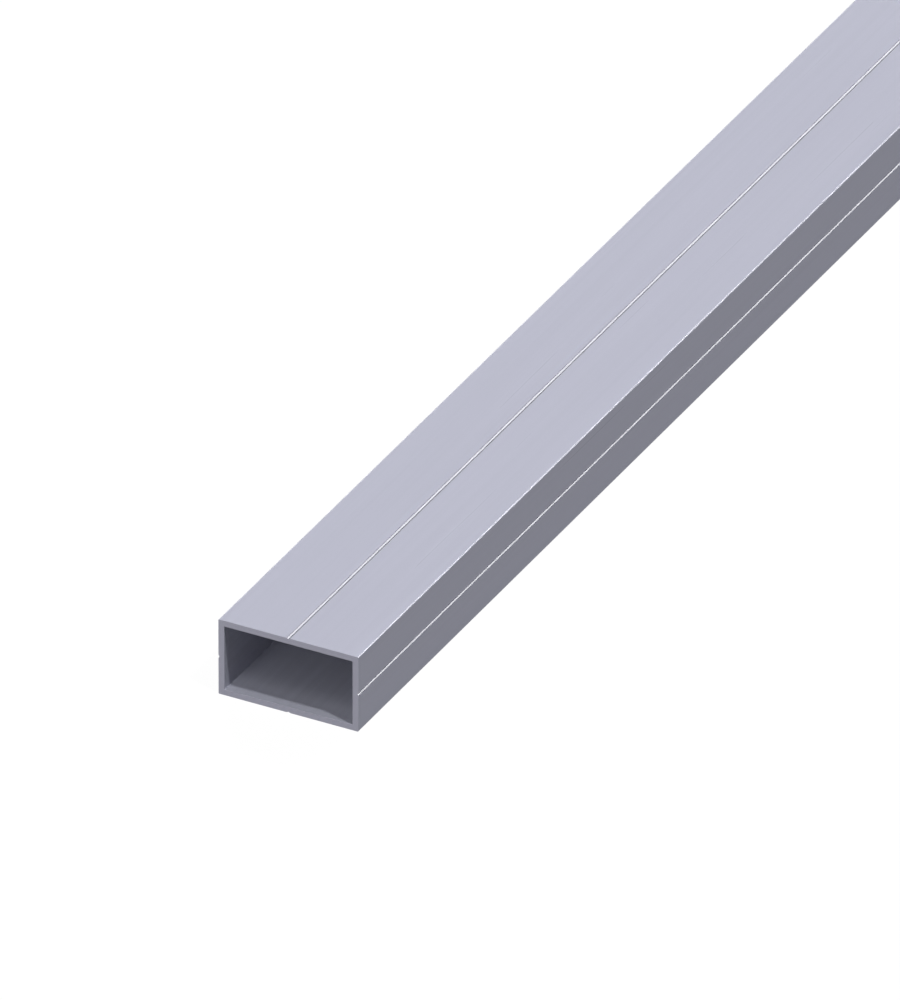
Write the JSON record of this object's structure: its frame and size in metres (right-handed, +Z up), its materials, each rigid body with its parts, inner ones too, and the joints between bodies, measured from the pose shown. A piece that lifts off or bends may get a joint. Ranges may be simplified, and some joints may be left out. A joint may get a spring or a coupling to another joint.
{
  "type": "rectangular aluminium tube",
  "caption": "Straight length of extruded rectangular aluminium tube with an even thin wall, crisp edges and a fine guide groove along the middle of each face.",
  "frame": {"origin": "middle of the underside, halfway along the length and halfway across the width", "axes": "+Y along the length, +X across the wide face, +Z up through the narrow side; the cut end that faces -Y is the front end"},
  "size_m": [0.0356, 1, 0.0195],
  "materials": {
    "anodised_aluminium": "satin anodised, silver, with fine die lines along the length and saw marks on the cut ends"
  },
  "bodies": {
    "root": {"rectangular_tube": "anodised_aluminium"}
  },
  "joints": []
}
